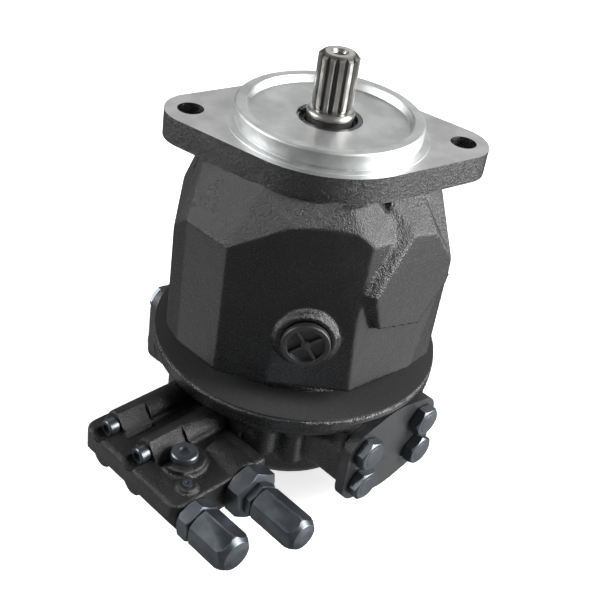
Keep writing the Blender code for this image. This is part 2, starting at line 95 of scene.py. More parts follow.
class Wire:  # a socket of one material's tree, with arithmetic
    def __init__(self, surface, socket):
        self.surface, self.socket = surface, socket

    def maths(self, kind, *others, first=None):
        node = self.surface.tree.nodes.new("ShaderNodeMath")
        node.operation = kind
        items = [self, *others] if first is None else [first, self]
        for socket, item in zip(node.inputs, items):
            self.surface.feed(socket, item)
        return Wire(self.surface, node.outputs[0])

    def __add__(self, other):
        return self.maths("ADD", other)

    def __radd__(self, other):
        return self.maths("ADD", other)

    def __sub__(self, other):
        return self.maths("SUBTRACT", other)

    def __rsub__(self, other):
        return self.maths("SUBTRACT", first=other)

    def __mul__(self, other):
        return self.maths("MULTIPLY", other)

    def __pow__(self, other):
        return self.maths("POWER", other)

    def step(self, low, high):
        node = self.surface.tree.nodes.new("ShaderNodeMapRange")
        node.interpolation_type = "SMOOTHSTEP"
        for socket, item in zip(node.inputs, (self, low, high)):
            self.surface.feed(socket, item)
        return Wire(self.surface, node.outputs[0])


class Surface:
    def __init__(self, name):
        self.material = bpy.data.materials.new(name)
        self.material.use_nodes = True
        self.tree = self.material.node_tree
        self.shader = self.tree.nodes["Principled BSDF"]
        coords = self.tree.nodes.new("ShaderNodeTexCoord")
        self.place = Wire(self, coords.outputs["Object"])

    def feed(self, socket, item):
        if isinstance(item, Wire):
            self.tree.links.new(item.socket, socket)
        else:
            socket.default_value = item

    def node(self, kind, **inputs):
        node = self.tree.nodes.new(kind)
        for key, value in inputs.items():
            self.feed(node.inputs[key.replace("_", " ")], value)
        return Wire(self, node.outputs[0])

    def noise(self, scale, detail=2.0, rough=0.5):
        return self.node("ShaderNodeTexNoise", Vector=self.place, Scale=scale, Detail=detail, Roughness=rough)

    def axis(self, which, source=None):
        node = self.tree.nodes.new("ShaderNodeSeparateXYZ")
        self.feed(node.inputs[0], source or self.place)
        return Wire(self, node.outputs[which])

    def facingUp(self):
        node = self.tree.nodes.new("ShaderNodeNewGeometry")
        return self.axis(2, Wire(self, node.outputs["Normal"]))

    def blend(self, amount, a, b):
        node = self.tree.nodes.new("ShaderNodeMix")
        node.data_type = "RGBA"
        self.feed(node.inputs[0], amount)
        for socket, item in ((node.inputs[6], a), (node.inputs[7], b)):
            self.feed(socket, item if isinstance(item, Wire) else (*item, 1.0))
        return Wire(self, node.outputs[2])

    def bump(self, height, strength, distance):
        return self.node("ShaderNodeBump", Height=height, Strength=strength, Distance=distance)

    def dress(self, **inputs):
        for key, value in inputs.items():
            self.feed(self.shader.inputs[key.replace("_", " ")], value)
        return self.material


def castPaint(name, dark, light, grain=1.0, gloss=0.22, smoothWalls=0.8, shine=0.85):
    s = Surface(name)
    sand = s.noise(760.0, 3.0, 0.7)
    pits = s.noise(2100.0, 2.0, 0.6)
    lumps = s.noise(150.0, 2.0, 0.5)
    drift = s.noise(38.0, 3.0, 0.55)
    upward = s.facingUp().step(0.08, 0.45)
    coarse = upward * smoothWalls + (1.0 - smoothWalls)
    height = (sand * (0.9 * grain) + pits * (0.35 * grain)) * coarse + lumps * 0.35
    dust = upward * drift.step(0.35, 0.7)
    tone = s.blend(drift.step(0.3, 0.75), dark, light)
    tone = s.blend(dust * 0.2, tone, (0.012, 0.012, 0.011))
    rough = gloss + sand * 0.12 + dust * 0.08
    return s.dress(Base_Color=tone, Roughness=rough, Normal=s.bump(height, 1.0, 0.0009),
                   Specular_IOR_Level=shine)


def turnedMetal(name, tone, pitch, gloss):
    s = Surface(name)
    x, y = s.axis(0), s.axis(1)
    radius = (x * x + y * y) ** 0.5
    rings = (radius * (math.tau / pitch)).maths("SINE")
    broad = s.noise(60.0, 3.0, 0.6)
    ringNoise = s.node("ShaderNodeTexNoise", Vector=s.node("ShaderNodeCombineXYZ", X=radius, Y=0.0, Z=0.0),
                       Scale=1500.0, Detail=2.0)
    height = rings * 0.25 + ringNoise * 0.35 + s.noise(2600.0, 1.0) * 0.12
    light = tuple(min(1.0, c * 1.12) for c in tone)
    dark = tuple(c * 0.86 for c in tone)
    colour = s.blend(broad.step(0.3, 0.7), dark, light)
    rough = gloss + ringNoise * 0.1 + broad * 0.08
    return s.dress(Base_Color=colour, Metallic=1.0, Roughness=rough, Normal=s.bump(height, 0.22, 0.00012))


def plainMetal(name, tone, gloss, metal=1.0):
    s = Surface(name)
    fine = s.noise(1400.0, 2.0, 0.6)
    broad = s.noise(90.0, 3.0, 0.55)
    light = tuple(min(1.0, c * 1.2 + 0.004) for c in tone)
    dark = tuple(c * 0.8 for c in tone)
    colour = s.blend(broad.step(0.3, 0.7), dark, light)
    return s.dress(Base_Color=colour, Metallic=metal, Roughness=gloss + fine * 0.12 + broad * 0.06,
                   Normal=s.bump(fine + broad * 0.5, 0.2, 0.0001))


# the painted shade in the gaps between teeth lies between two radii and starts at a height, all in metres
def shaftSteel(name, tone, gloss, shadeInner, shadeOuter, shadeFrom):
    s = Surface(name)
    fine = s.noise(1500.0, 2.0, 0.6)
    broad = s.noise(110.0, 3.0, 0.55)
    x, y = s.axis(0), s.axis(1)
    radius = (x * x + y * y) ** 0.5
    # painted shade: from the tooth roots up the lower flanks the steel is darkened, made less metallic and
    # rougher, standing in for the shade between the teeth
    aboveRoot = s.axis(2).step(shadeFrom - 0.001, shadeFrom)
    paintedGapShade = radius.step(shadeOuter, shadeInner) * aboveRoot * radius.step(0.007, 0.0082)
    colour = s.blend(broad.step(0.3, 0.7), tuple(c * 0.85 for c in tone), tuple(c * 1.12 for c in tone))
    colour = s.blend(paintedGapShade * 0.88, colour, (0.035, 0.033, 0.03))
    return s.dress(Base_Color=colour, Metallic=1.0 - paintedGapShade * 0.35, Roughness=gloss + fine * 0.12 + paintedGapShade * 0.2,
                   Normal=s.bump(fine + broad * 0.5, 0.2, 0.0001))


def soft(name, tone, gloss):
    s = Surface(name)
    fine = s.noise(600.0, 3.0, 0.6)
    colour = s.blend(fine.step(0.25, 0.8), tone, tuple(c * 1.5 + 0.004 for c in tone))
    return s.dress(Base_Color=colour, Roughness=gloss + fine * 0.1, Normal=s.bump(fine, 0.25, 0.00015))


looks = {
    "casting": castPaint("castingPaint", (0.003, 0.0031, 0.0034), (0.0055, 0.0057, 0.0062)),
    "plate": castPaint("platePaint", (0.004, 0.0041, 0.0045), (0.008, 0.0082, 0.0085), 0.9, 0.22),
    "valve": castPaint("valvePaint", (0.006, 0.0063, 0.006), (0.01, 0.0104, 0.0098), 0.8, 0.24, 0.5, 0.5),
    "cover": castPaint("coverPaint", (0.006, 0.0065, 0.0078), (0.01, 0.0108, 0.0125), 0.45, 0.36),
    "rim": castPaint("rimPaint", (0.006, 0.0062, 0.0066), (0.01, 0.0104, 0.011), 1.0, 0.2, 0.2),
    "faced": turnedMetal("facedIron", (0.57, 0.575, 0.57), 0.00045, 0.38),
    "recess": turnedMetal("recessIron", (0.6, 0.61, 0.61), 0.0006, 0.4),
    "shaft": shaftSteel("groundShaft", (0.5, 0.49, 0.47), 0.27, 0.0094, 0.0104, 0.2175),
    "bolt": plainMetal("boltSteel", (0.09, 0.1, 0.112), 0.26, 0.85),
    "steel": plainMetal("brightSteel", (0.6, 0.6, 0.59), 0.22),
    "iron": plainMetal("machinedIron", (0.42, 0.42, 0.41), 0.34),
    "bronze": plainMetal("bearingBronze", (0.6, 0.38, 0.17), 0.3),
    "rubber": soft("sealRubber", (0.012, 0.012, 0.012), 0.55),
    "plastic": soft("plugPlastic", (0.01, 0.01, 0.011), 0.4),
    "fibre": soft("gasketFibre", (0.012, 0.013, 0.012), 0.75),
}
print("materials ready")


# shapes are drawn in millimetres
def circle(r, n, cx=0.0, cy=0.0, start=0.0):
    return [(cx + r * math.cos(start + math.tau * i / n), cy + r * math.sin(start + math.tau * i / n))
            for i in range(n)]


def hull(points):
    points = sorted({(round(x, 5), round(y, 5)) for x, y in points})

    def chain(seq):
        out = []
        for p in seq:
            while len(out) > 1 and ((out[-1][0] - out[-2][0]) * (p[1] - out[-2][1])
                                    - (out[-1][1] - out[-2][1]) * (p[0] - out[-2][0])) <= 1e-9:
                out.pop()
            out.append(p)
        return out[:-1]

    return chain(points) + chain(points[::-1])


# rounds each corner by its third value, or by radius where it has none
def fillet(points, radius, n=4, closed=True):
    out = []
    for i, p in enumerate(points):
        if not closed and i in (0, len(points) - 1):
            out.append(p[:2])
            continue
        r = p[2] if len(p) > 2 else radius
        here, a, b = Vector(p[:2]), Vector(points[i - 1][:2]), Vector(points[(i + 1) % len(points)][:2])
        da, db = (a - here), (b - here)
        half = da.angle(db, math.pi) / 2
        if r <= 0 or half > 1.52:
            out.append(p[:2])
            continue
        reach = min(r / math.tan(half), 0.49 * da.length, 0.49 * db.length)
        start, end = here + da.normalized() * reach, here + db.normalized() * reach
        for k in range(n + 1):
            t = k / n
            out.append(tuple(start * (1 - t) ** 2 + here * 2 * t * (1 - t) + end * t * t))
    return out


# a frame whose x is sideways, y is up and z points outward
def facing(angle, z=0.0):
    a = math.radians(angle)
    out = Vector((math.cos(a), math.sin(a), 0))
    turn = Matrix((Vector((0, 0, 1)).cross(out), Vector((0, 0, 1)), out)).transposed().to_4x4()
    return Matrix.Translation((0, 0, z * mm)) @ turn


# a frame whose x is outward and y is up
def radialProfile(angle):
    a = math.radians(angle)
    out = Vector((math.cos(a), math.sin(a), 0))
    return Matrix((out, Vector((0, 0, 1)), out.cross(Vector((0, 0, 1))))).transposed().to_4x4()


def addObject(name, mesh):
    obj = bpy.data.objects.new(name, mesh)
    scene.collection.objects.link(obj)
    return obj


def fromBmesh(name, bm, turn=None):
    bmesh.ops.recalc_face_normals(bm, faces=bm.faces)
    mesh = bpy.data.meshes.new(name)
    bm.to_mesh(mesh)
    bm.free()
    mesh.transform((turn or Matrix()) @ Matrix.Scale(mm, 4))
    return addObject(name, mesh)


def slab(name, outline, low, high, edge=0.0, seg=2, turn=None):
    bm = bmesh.new()
    bottom = [bm.verts.new((x, y, low)) for x, y in outline]
    top = [bm.verts.new((x, y, high)) for x, y in outline]
    caps = [bm.faces.new(bottom[::-1]), bm.faces.new(top)]
    for i in range(len(outline)):
        j = (i + 1) % len(outline)
        bm.faces.new((bottom[i], bottom[j], top[j], top[i]))
    if edge:
        edges = list({e for f in caps for e in f.edges})
        bmesh.ops.bevel(bm, geom=edges, offset=edge, segments=seg, profile=0.5, affect="EDGES")
    return fromBmesh(name, bm, turn)


def spun(name, profile, seg=64, turn=None):
    bm = bmesh.new()
    rings = []
    for r, z in profile:
        if r < 1e-6:
            rings.append([bm.verts.new((0, 0, z))])
        else:
            rings.append([bm.verts.new((x, y, z)) for x, y in circle(r, seg)])
    openEnds = len(rings[0]) == 1 and len(rings[-1]) == 1
    for a in range(len(rings) - (1 if openEnds else 0)):
        one, two = rings[a], rings[(a + 1) % len(rings)]
        for i in range(seg):
            j = (i + 1) % seg
            quad = [one[i % len(one)], two[i % len(two)], two[j % len(two)], one[j % len(one)]]
            quad = list(dict.fromkeys(quad))
            if len(quad) > 2:
                bm.faces.new(quad)
    return fromBmesh(name, bm, turn)


def hullSolid(name, points, turn=None):
    bm = bmesh.new()
    for p in points:
        bm.verts.new(p)
    bmesh.ops.convex_hull(bm, input=bm.verts)
    loose = [v for v in bm.verts if not v.link_faces]
    bmesh.ops.delete(bm, geom=loose, context="VERTS")
    return fromBmesh(name, bm, turn)


def bake(obj):
    graph = bpy.context.evaluated_depsgraph_get()
    mesh = bpy.data.meshes.new_from_object(obj.evaluated_get(graph))
    obj.modifiers.clear()
    old, obj.data = obj.data, mesh
    bpy.data.meshes.remove(old)
    return obj


def merge(name, objs):
    bm = bmesh.new()
    for obj in objs:
        bm.from_mesh(obj.data)
        bpy.data.objects.remove(obj)
    mesh = bpy.data.meshes.new(name)
    bm.to_mesh(mesh)
    bm.free()
    return addObject(name, mesh)


def combine(obj, others, how="DIFFERENCE"):
    for other in others:
        step = obj.modifiers.new("step", "BOOLEAN")
        step.operation, step.solver, step.object = how, "EXACT", other
    bake(obj)
    for other in others:
        bpy.data.objects.remove(other)
    return obj


def cast(name, shapes, voxel, rounds):
    obj = merge(name, shapes)
    remesh = obj.modifiers.new("skin", "REMESH")
    remesh.mode, remesh.voxel_size = "VOXEL", voxel * mm
    relax = obj.modifiers.new("relax", "SMOOTH")
    relax.factor, relax.iterations = 0.5, rounds
    return bake(obj)


def smooth(obj, angle=32.0):
    obj.data.polygons.foreach_set("use_smooth", [True] * len(obj.data.polygons))
    obj.data.set_sharp_from_angle(angle=math.radians(angle))
    return obj


def deliver(obj, look, nodes=(), body="housing", angle=32.0):
    if look:
        obj.data.materials.clear()
        obj.data.materials.append(looks[look])
    smooth(obj, angle)
    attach(obj, body)
    if nodes:
        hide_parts(*nodes)
    obj.data.calc_loop_triangles()
    print("piece", obj.name, len(obj.data.loop_triangles))
    return obj


def ringTree():
    tree = bpy.data.node_groups.new("ringPattern", "GeometryNodeTree")
    face = tree.interface
    face.new_socket("Geometry", in_out="INPUT", socket_type="NodeSocketGeometry")
    for label, kind in (("Count", "NodeSocketInt"), ("Radius", "NodeSocketFloat"), ("Tilt", "NodeSocketFloat"),
                        ("Finish", "NodeSocketMaterial")):
        face.new_socket(label, in_out="INPUT", socket_type=kind)
    face.new_socket("Geometry", in_out="OUTPUT", socket_type="NodeSocketGeometry")
    add, link = tree.nodes.new, tree.links.new
    source, result = add("NodeGroupInput"), add("NodeGroupOutput")
    ring, stamp = add("GeometryNodeMeshCircle"), add("GeometryNodeInstanceOnPoints")
    index = add("GeometryNodeInputIndex")
    share, turn = add("ShaderNodeMath"), add("ShaderNodeMath")
    share.operation, turn.operation = "DIVIDE", "MULTIPLY"
    turn.inputs[1].default_value = math.tau
    spin = add("ShaderNodeCombineXYZ")
    real, paint = add("GeometryNodeRealizeInstances"), add("GeometryNodeSetMaterial")
    link(source.outputs["Count"], ring.inputs["Vertices"])
    link(source.outputs["Radius"], ring.inputs["Radius"])
    link(ring.outputs["Mesh"], stamp.inputs["Points"])
    link(source.outputs["Geometry"], stamp.inputs["Instance"])
    link(index.outputs[0], share.inputs[0])
    link(source.outputs["Count"], share.inputs[1])
    link(share.outputs[0], turn.inputs[0])
    link(turn.outputs[0], spin.inputs["Z"])
    link(source.outputs["Tilt"], spin.inputs["Y"])
    link(spin.outputs[0], stamp.inputs["Rotation"])
    link(stamp.outputs["Instances"], real.inputs["Geometry"])
    link(real.outputs[0], paint.inputs["Geometry"])
    link(source.outputs["Finish"], paint.inputs["Material"])
    link(paint.outputs[0], result.inputs[0])
    return tree


def gridTree():
    tree = bpy.data.node_groups.new("boltPattern", "GeometryNodeTree")
    face = tree.interface
    face.new_socket("Geometry", in_out="INPUT", socket_type="NodeSocketGeometry")
    for label, kind in (("Spacing X", "NodeSocketFloat"), ("Spacing Y", "NodeSocketFloat"),
                        ("Seed", "NodeSocketInt"), ("Finish", "NodeSocketMaterial")):
        face.new_socket(label, in_out="INPUT", socket_type=kind)
    face.new_socket("Geometry", in_out="OUTPUT", socket_type="NodeSocketGeometry")
    add, link = tree.nodes.new, tree.links.new
    source, result = add("NodeGroupInput"), add("NodeGroupOutput")
    grid, stamp = add("GeometryNodeMeshGrid"), add("GeometryNodeInstanceOnPoints")
    grid.inputs["Vertices X"].default_value = grid.inputs["Vertices Y"].default_value = 2
    chance, spin = add("FunctionNodeRandomValue"), add("ShaderNodeCombineXYZ")
    chance.data_type = "FLOAT"
    chance.inputs[3].default_value = math.tau
    real, paint = add("GeometryNodeRealizeInstances"), add("GeometryNodeSetMaterial")
    link(source.outputs["Spacing X"], grid.inputs["Size X"])
    link(source.outputs["Spacing Y"], grid.inputs["Size Y"])
    link(source.outputs["Seed"], chance.inputs["Seed"])
    link(chance.outputs[1], spin.inputs["Z"])
    link(grid.outputs["Mesh"], stamp.inputs["Points"])
    link(source.outputs["Geometry"], stamp.inputs["Instance"])
    link(spin.outputs[0], stamp.inputs["Rotation"])
    link(stamp.outputs["Instances"], real.inputs["Geometry"])
    link(real.outputs[0], paint.inputs["Geometry"])
    link(source.outputs["Finish"], paint.inputs["Material"])
    link(paint.outputs[0], result.inputs[0])
    return tree


ringPattern, boltPattern = ringTree(), gridTree()


def repeat(obj, tree, **inputs):
    step = obj.modifiers.new("pattern", "NODES")
    step.node_group = tree
    for item in tree.interface.items_tree:
        if item.in_out == "INPUT" and item.name.replace(" ", "") in inputs:
            step[item.identifier] = inputs[item.name.replace(" ", "")]
    return bake(obj)


def hexHead(name, across, low, high, chamfer, both=False, turn=None):
    corner = across / 2 / math.cos(math.pi / 6)
    body = slab(name, circle(corner, 6, start=math.pi / 6), low, high, turn=turn)
    cone = [(0, high + 0.01), (across / 2 * 0.96, high + 0.01), (corner + 0.3, high - chamfer)]
    if both:
        cone += [(corner + 0.3, low + chamfer), (across / 2 * 0.97, low - 0.01), (0, low - 0.01)]
    else:
        cone += [(corner + 0.3, low - 1), (0, low - 1)]
    return combine(body, [spun("cone", cone, 48, turn)], "INTERSECT")


# corners of the half bell at the front, and of walls by direction: (reach, sideways from, to, height)
bellSize = {
    "front": [(-45.6, -64.7, 84), (-45.6, -64.7, 163.5), (-18, -71, 84), (-18, -71, 120), (28, -71, 84),
              (25, -70.3, 124), (27, -65.3, 174), (-30.6, -63.5, 171), (-16, -66.2, 179.5),
              (5, -66.6, 181.3), (20, -65.6, 179)],
    "walls": {
        -135: [(78, -18, 13.5, 84), (78, -18, 13.5, 163.5)],
        -52: [(73, -20, 22, 84), (71, -22, 22, 122), (69.5, -20, 22, 149), (67.4, -18.4, 12, 174)],
        0: [(75.5, -28, 0, 84), (75.5, -28, 0, 150)],
        180: [(75.5, 0, 28, 84), (75.5, 0, 28, 150)],
    },
    "neck": [(-135, 58, -15, 13), (-52, 57.2, -27, 10), (0, 62, -16, 0), (180, 62, 0, 16)],
    "neckTop": 191.8,
    "cavity": [(0, 230), (26.3, 230), (26.3, 150), (60, 150), (60, 60), (0, 60)],
    "voxel": 1.15,
    "rounds": 4,
}
half = list(bellSize["front"])
for angle, spots in bellSize["walls"].items():
    place = facing(angle)
    for reach, t0, t1, z in spots:
        half += [tuple(place.to_3x3() @ Vector((t, z, reach))) for t in (t0, t1)]
for angle, reach, t0, t1 in bellSize["neck"]:
    half += [tuple(facing(angle).to_3x3() @ Vector((t, bellSize["neckTop"], reach))) for t in (t0, t1)]
bell = [hullSolid("bell", half + [(x, -y, z) for x, y, z in half])]

# raised pads over the cradle bearings, each with a groove beside it: (sideways, height, reach)
padSize = {
    "sides": ((-50, 1), (50, -1)),
    "face": [(2.8, 177, 71.8), (19.8, 174.1, 72), (35.6, 153.5, 73.7), (35, 140.8, 74.8),
             (16.2, 119.2, 76.6), (-14, 125.4, 76), (-19.5, 145.7, 74.4), (-7, 164, 72.8)],
    "spread": (0, 0, 0, 0, 0, 5, 8, 7),
    "skirt": 66,
    "root": 50,
    "neck": ((-4.5, 57.6), (17, 59)),
    "neckTop": 191.5,
    "neckDepth": 12,
    "grooves": ([(-10.6, 192.2, 53), (0.4, 174.8, 63.3)],
                [(0.4, 175.2, 63.2), (-1, 160, 64.8), (-1, 146, 70.6)]),
    "grooveSide": 5,
    "grooveTurn": 2,
}
grooves = []
for angle, flip in padSize["sides"]:
    for spots in padSize["grooves"]:
        points = [(flip * u, z, r) for t, z, reach in spots for u in (t, padSize["grooveSide"])
                  for r in (reach, 90)]
        grooves.append(hullSolid("groove", points, facing(angle - padSize["grooveTurn"] * flip)))
combine(bell[0], grooves)
for angle, flip in padSize["sides"]:
    points = [(flip * t, z, reach) for t, z, reach in padSize["face"]]
    points += [(flip * (t - out), z, padSize["skirt"])
               for (t, z, reach), out in zip(padSize["face"], padSize["spread"])]
    points += [(flip * t, z, padSize["root"]) for t, z, reach in padSize["face"]]
    points += [(flip * t, padSize["neckTop"], reach - deep) for t, reach in padSize["neck"]
               for deep in (0, padSize["neckDepth"])]
    bell.append(hullSolid("cradlePad", points, facing(angle)))

drainSize = {"level": 118, "bossR": 16.6, "bossOut": 74.6, "seatR": 13.6, "seatOut": 73.8, "angles": (-90, 90)}
for angle in drainSize["angles"]:
    bell.append(slab("drainBoss", circle(drainSize["bossR"], 48, 0, drainSize["level"]), 60,
                     drainSize["bossOut"], turn=facing(angle)))

flangeSize = {"earR": 20.0, "earAt": 67, "waistR": 58.5, "under": 191.2, "boltR": 7.15, "boltAt": 73,
              "edge": 0.9, "facedDepth": 0.35}


def flangeOutline(inset, earSegments, waistSegments):
    earR, earAt = flangeSize["earR"] - inset, flangeSize["earAt"]
    return hull(circle(earR, earSegments, earAt, 0) + circle(earR, earSegments, -earAt, 0)
                + circle(flangeSize["waistR"] - inset, waistSegments))


def boltWays(segments):
    return [slab("boltWay", circle(flangeSize["boltR"], segments, x, 0), 170, 230)
            for x in (-flangeSize["boltAt"], flangeSize["boltAt"])]


bell.append(slab("flangeRoot", flangeOutline(1.0, 32, 64), 191.6, 200))
housing = cast("housingCasting", bell, bellSize["voxel"], bellSize["rounds"])
drainCut = [slab("drainCut", circle(drainSize["seatR"], 40, 0, drainSize["level"]), drainSize["seatOut"], 90,
                 turn=facing(a)) for a in drainSize["angles"]]
combine(housing, [spun("cavity", bellSize["cavity"], 64), *boltWays(40), *drainCut])
deliver(housing, "casting", ["housing"], angle=40)

flange = slab("flangePlate", flangeOutline(0.0, 48, 96), flangeSize["under"], flangeZ, flangeSize["edge"], 3)
combine(flange, boltWays(48) + [spun("bearingWay", [(0, 230), (30, 230), (30, 170), (0, 170)], 64)])
flange.data.materials.append(looks["rim"])
flange.data.materials.append(looks["faced"])
for face in flange.data.polygons:
    high = face.center.z > (flangeZ - flangeSize["facedDepth"]) * mm and face.normal.z > 0.8
    face.material_index = 1 if high else 0
deliver(flange, None)

# spigot, from the seal bore outward and down: (radius, height, corner radius)
pilotSize = {
    "profile": [
        (17.6, 211.2, 0.4), (43.2, 211.2, 0.8), (44.4, 214.6, 0.5), (45.0, 215.5, 0.3), (49.9, 215.5, 0.4),
        (pilotR, 214.6, 0.4), (pilotR, 207.6, 0.3), (50.1, 207.0, 0.2), (50.1, 206.25, 0.0),
        (54.6, 206.25, 0.1), (54.9, 205.8, 0.0), (50.1, 205.8, 0), (50.1, 203, 0),
        (26, 203, 0), (26, 204, 0), (17.6, 204, 0)],
    "segments": 128,
}
deliver(spun("pilotSpigot", fillet(pilotSize["profile"], 0.3, 3)[::-1], pilotSize["segments"]), "recess",
        angle=25)
print("housing done")

sealSize = {
    "profile": [(12.62, 206.4, 0.1), (13.4, 208.9, 0.6), (14.6, 208.9, 0.5), (14.9, 206.5, 0.6),
                (16.2, 206.5, 0.6), (16.3, 209.8, 0.4), (17.5, 209.8, 0.2), (17.5, 203.2, 0),
                (12.62, 203.2, 0)],
    "metalFrom": 15.6,
}
seal = spun("shaftSeal", fillet(sealSize["profile"], 0.3, 3)[::-1], 72)
seal.data.materials.append(looks["rubber"])
seal.data.materials.append(looks["iron"])
for face in seal.data.polygons:
    face.material_index = 1 if Vector(face.center[:2]).length > sealSize["metalFrom"] * mm else 0
deliver(seal, None, ["shaft_seal"])

snapSize = {"outer": 17.4, "inner": 15.2, "low": 210.0, "high": 211.0, "open": 160, "eyeR": 0.8,
            "eyeAt": 16.3, "eyeAngle": 154}
span = [math.radians(a) for a in range(-snapSize["open"], snapSize["open"] + 1, 8)]
loop = [(snapSize["outer"] * math.cos(a), snapSize["outer"] * math.sin(a)) for a in span]
loop += [(snapSize["inner"] * math.cos(a), snapSize["inner"] * math.sin(a)) for a in span[::-1]]
snap = slab("sealSnapRing", loop, snapSize["low"], snapSize["high"], 0.15, 1)
combine(snap, [slab("eye", circle(snapSize["eyeR"], 16, snapSize["eyeAt"] * math.cos(a),
                                  snapSize["eyeAt"] * math.sin(a)), 205, 215)
               for a in (math.radians(-snapSize["eyeAngle"]), math.radians(snapSize["eyeAngle"]))])
deliver(snap, "bolt", ["seal_snap_ring"])

# shaft from its centre drilling down to its rear end, then one tooth as (radius, half angle)
shaftSize = {
    "profile": [
        (0, 233, 0), (3.3, 234.5, 0), (3.3, 245.6, 0.2), (4.6, shaftEnd, 0.2), (7.9, shaftEnd, 0.3),
        (8.9, 245.9, 0.2), (8.9, 217.2, 0.8), (11.6, 216.6, 0.8), (13.1, 215.2, 1.2), (12.9, 212.9, 0.8),
        (12.1, 212.2, 0.3), (12.1, 202.3, 0.3), (15.5, 202.3, 0.3), (15.5, 184, 0.3),
        (13, 180, 0.3), (13, 78, 0.3), (11, 74, 0.3), (11, 42.4, 0.3), (10.4, 42, 0.2), (0, 42, 0)],
    "teeth": 13,
    "toothAt": 9.0,
    "flank": ((8.5, 0.18), (9.1, 0.172), (9.7, 0.15), (10.3, 0.125), (10.75, 0.105), (10.9, 0.09)),
    "toothLow": 216.2,
    "toothHigh": shaftEnd - 0.3,
    "toothTrim": [(0, shaftEnd - 0.3), (8.6, shaftEnd - 0.3), (10.95, shaftEnd - 2.3), (10.95, 219.6),
                  (10.5, 217.9), (9.6, 216.8), (8.6, 216.4), (8.6, 210), (0, 210)],
}
shaft = spun("driveShaft", fillet(shaftSize["profile"], 0.3, 3, closed=False), 80)
toothAt, flank = shaftSize["toothAt"], shaftSize["flank"]
toothOutline = [(r * math.cos(h) - toothAt, -r * math.sin(h)) for r, h in flank]
toothOutline += [(r * math.cos(h) - toothAt, r * math.sin(h)) for r, h in flank[::-1]]
tooth = slab("splineTooth", toothOutline, shaftSize["toothLow"], shaftSize["toothHigh"], 0.12, 1)
combine(tooth, [spun("toothEnds", shaftSize["toothTrim"], 64, Matrix.Translation((-toothAt * mm, 0, 0)))],
        "INTERSECT")
repeat(tooth, ringPattern, Count=shaftSize["teeth"], Radius=toothAt * mm, Tilt=0.0, Finish=looks["shaft"])
deliver(merge("driveShaft", [shaft, tooth]), "shaft", ["drive_shaft"], "rotating_group", 30)
print("shaft done")

plugSize = {
    "cup": [(0, 76.6, 0), (9.9, 76.6, 0.6), (10.1, 78.7, 0.3), (12.6, 78.9, 0.5), (13.0, 78.2, 0.4),
            (13.0, 75.2, 0.3), (10, 75.2, 0), (10, 64, 0.6), (0, 64, 0)],
    "hubR": 2.6,
    "rib": [(-10.3, -0.75), (10.3, -0.75), (10.3, 0.75), (-10.3, 0.75)],
    "ribAngles": (35, 125),
}
for name, angle in (("drain_plug_front", -90), ("drain_plug_rear", 90)):
    place = facing(angle, drainSize["level"])
    cup = spun("drainPlug", fillet(plugSize["cup"], 0.3, 3, closed=False), 56, place)
    hub = slab("hub", circle(plugSize["hubR"], 24), 76, 78.5, 0.3, 2, place)
    ribs = [slab("rib", plugSize["rib"], 76, 78.4, 0.25, 2,
                 place @ Matrix.Rotation(math.radians(a), 4, "Z")) for a in plugSize["ribAngles"]]
    deliver(merge(name.replace("_", ""), [cup, hub, *ribs]), "plastic", [name])

# arms as (sideways, height, corner radius); bosses as (angle, reach, radius, low end)
plateSize = {
    "disc": [(0, 71.9), (84.3, 71.9), (84.5, 71.5), (84.5, 64), (82, 60), (70, 57), (62, 49), (58, 22),
             (54, 8), (49, 0.4), (0, 0.4)],
    "arms": {
        bAngle: [(-33, 67, 3), (-34, 45, 4), (-31, 22, 8), (-18, 9, 8), (18, 9, 8), (31, 22, 8),
                 (34, 45, 4), (33, 67, 3)],
        sAngle: [(-42, 68, 3), (-42, 26, 8), (-24, 7, 10), (24, 7, 10), (42, 26, 8), (42, 68, 3)],
    },
    "valvePad": [(-31, 26, 5), (31, 26, 5), (31, 58, 3), (-31, 58, 3)],
    "bosses": ((-102, 71, 10.5, 40), (-89, 72, 8.5, 36), (0, 71, 10, 38), (90, 71, 10, 38),
               (180, 71, 10, 38)),
    "bracket": [(50, 63), (79, 63), (79, 52), (64, 38), (50, 30)],
    "screwAngles": (-89, 0, 90, 180),
    "screwAt": 72,
    "screwWayR": 6.6,
    "flats": ((bAngle, 39, 68.0), (sAngle, 46, 68.8)),
    "voxel": 1.45,
    "rounds": 5,
}
plateBits = [spun("plateDisc", plateSize["disc"], 96)]
for angle, outline in plateSize["arms"].items():
    plateBits.append(slab("arm", fillet(outline, 4), -7, portFace - 0.1, turn=facing(angle)))
plateBits.append(slab("valvePad", fillet(plateSize["valvePad"], 4), 0, 71.6, turn=facing(valveAngle)))
for angle, reach, width, low in plateSize["bosses"]:
    a = math.radians(angle)
    x, y = reach * math.cos(a), reach * math.sin(a)
    boss = [(x + p, y + q) for p, q in circle(width, 28)]
    root = [(0.6 * x + p, 0.6 * y + q) for p, q in circle(width, 28)]
    plateBits.append(slab("screwBoss", hull(boss + root), low, 62))
plateBits.append(slab("bracket", plateSize["bracket"], -6, 6, turn=radialProfile(-112)))
plate = cast("portPlate", plateBits, plateSize["voxel"], plateSize["rounds"])
plateCuts = [spun("seat", [(0, 90), (43, 90), (43, 66), (0, 66)], 64)]
screwSpots = []
for angle in plateSize["screwAngles"]:
    a = math.radians(angle)
    x, y = plateSize["screwAt"] * math.cos(a), plateSize["screwAt"] * math.sin(a)
    screwSpots.append((x, y))
    plateCuts.append(slab("screwWay", circle(plateSize["screwWayR"], 28, x, y), 20, 52))
for angle, wide, top in plateSize["flats"]:
    plateCuts.append(slab("portFlat", [(-wide, -8), (wide, -8), (wide, top), (-wide, top)], portFace, 99,
                          turn=facing(angle)))
plateCuts.append(slab("valveFlat", [(-60, 18), (34, 18), (34, 59.5), (-60, 59.5)], 71.7, 99,
                      turn=facing(valveAngle)))
combine(plate, plateCuts)
deliver(plate, "plate", ["port_plate"], angle=40)

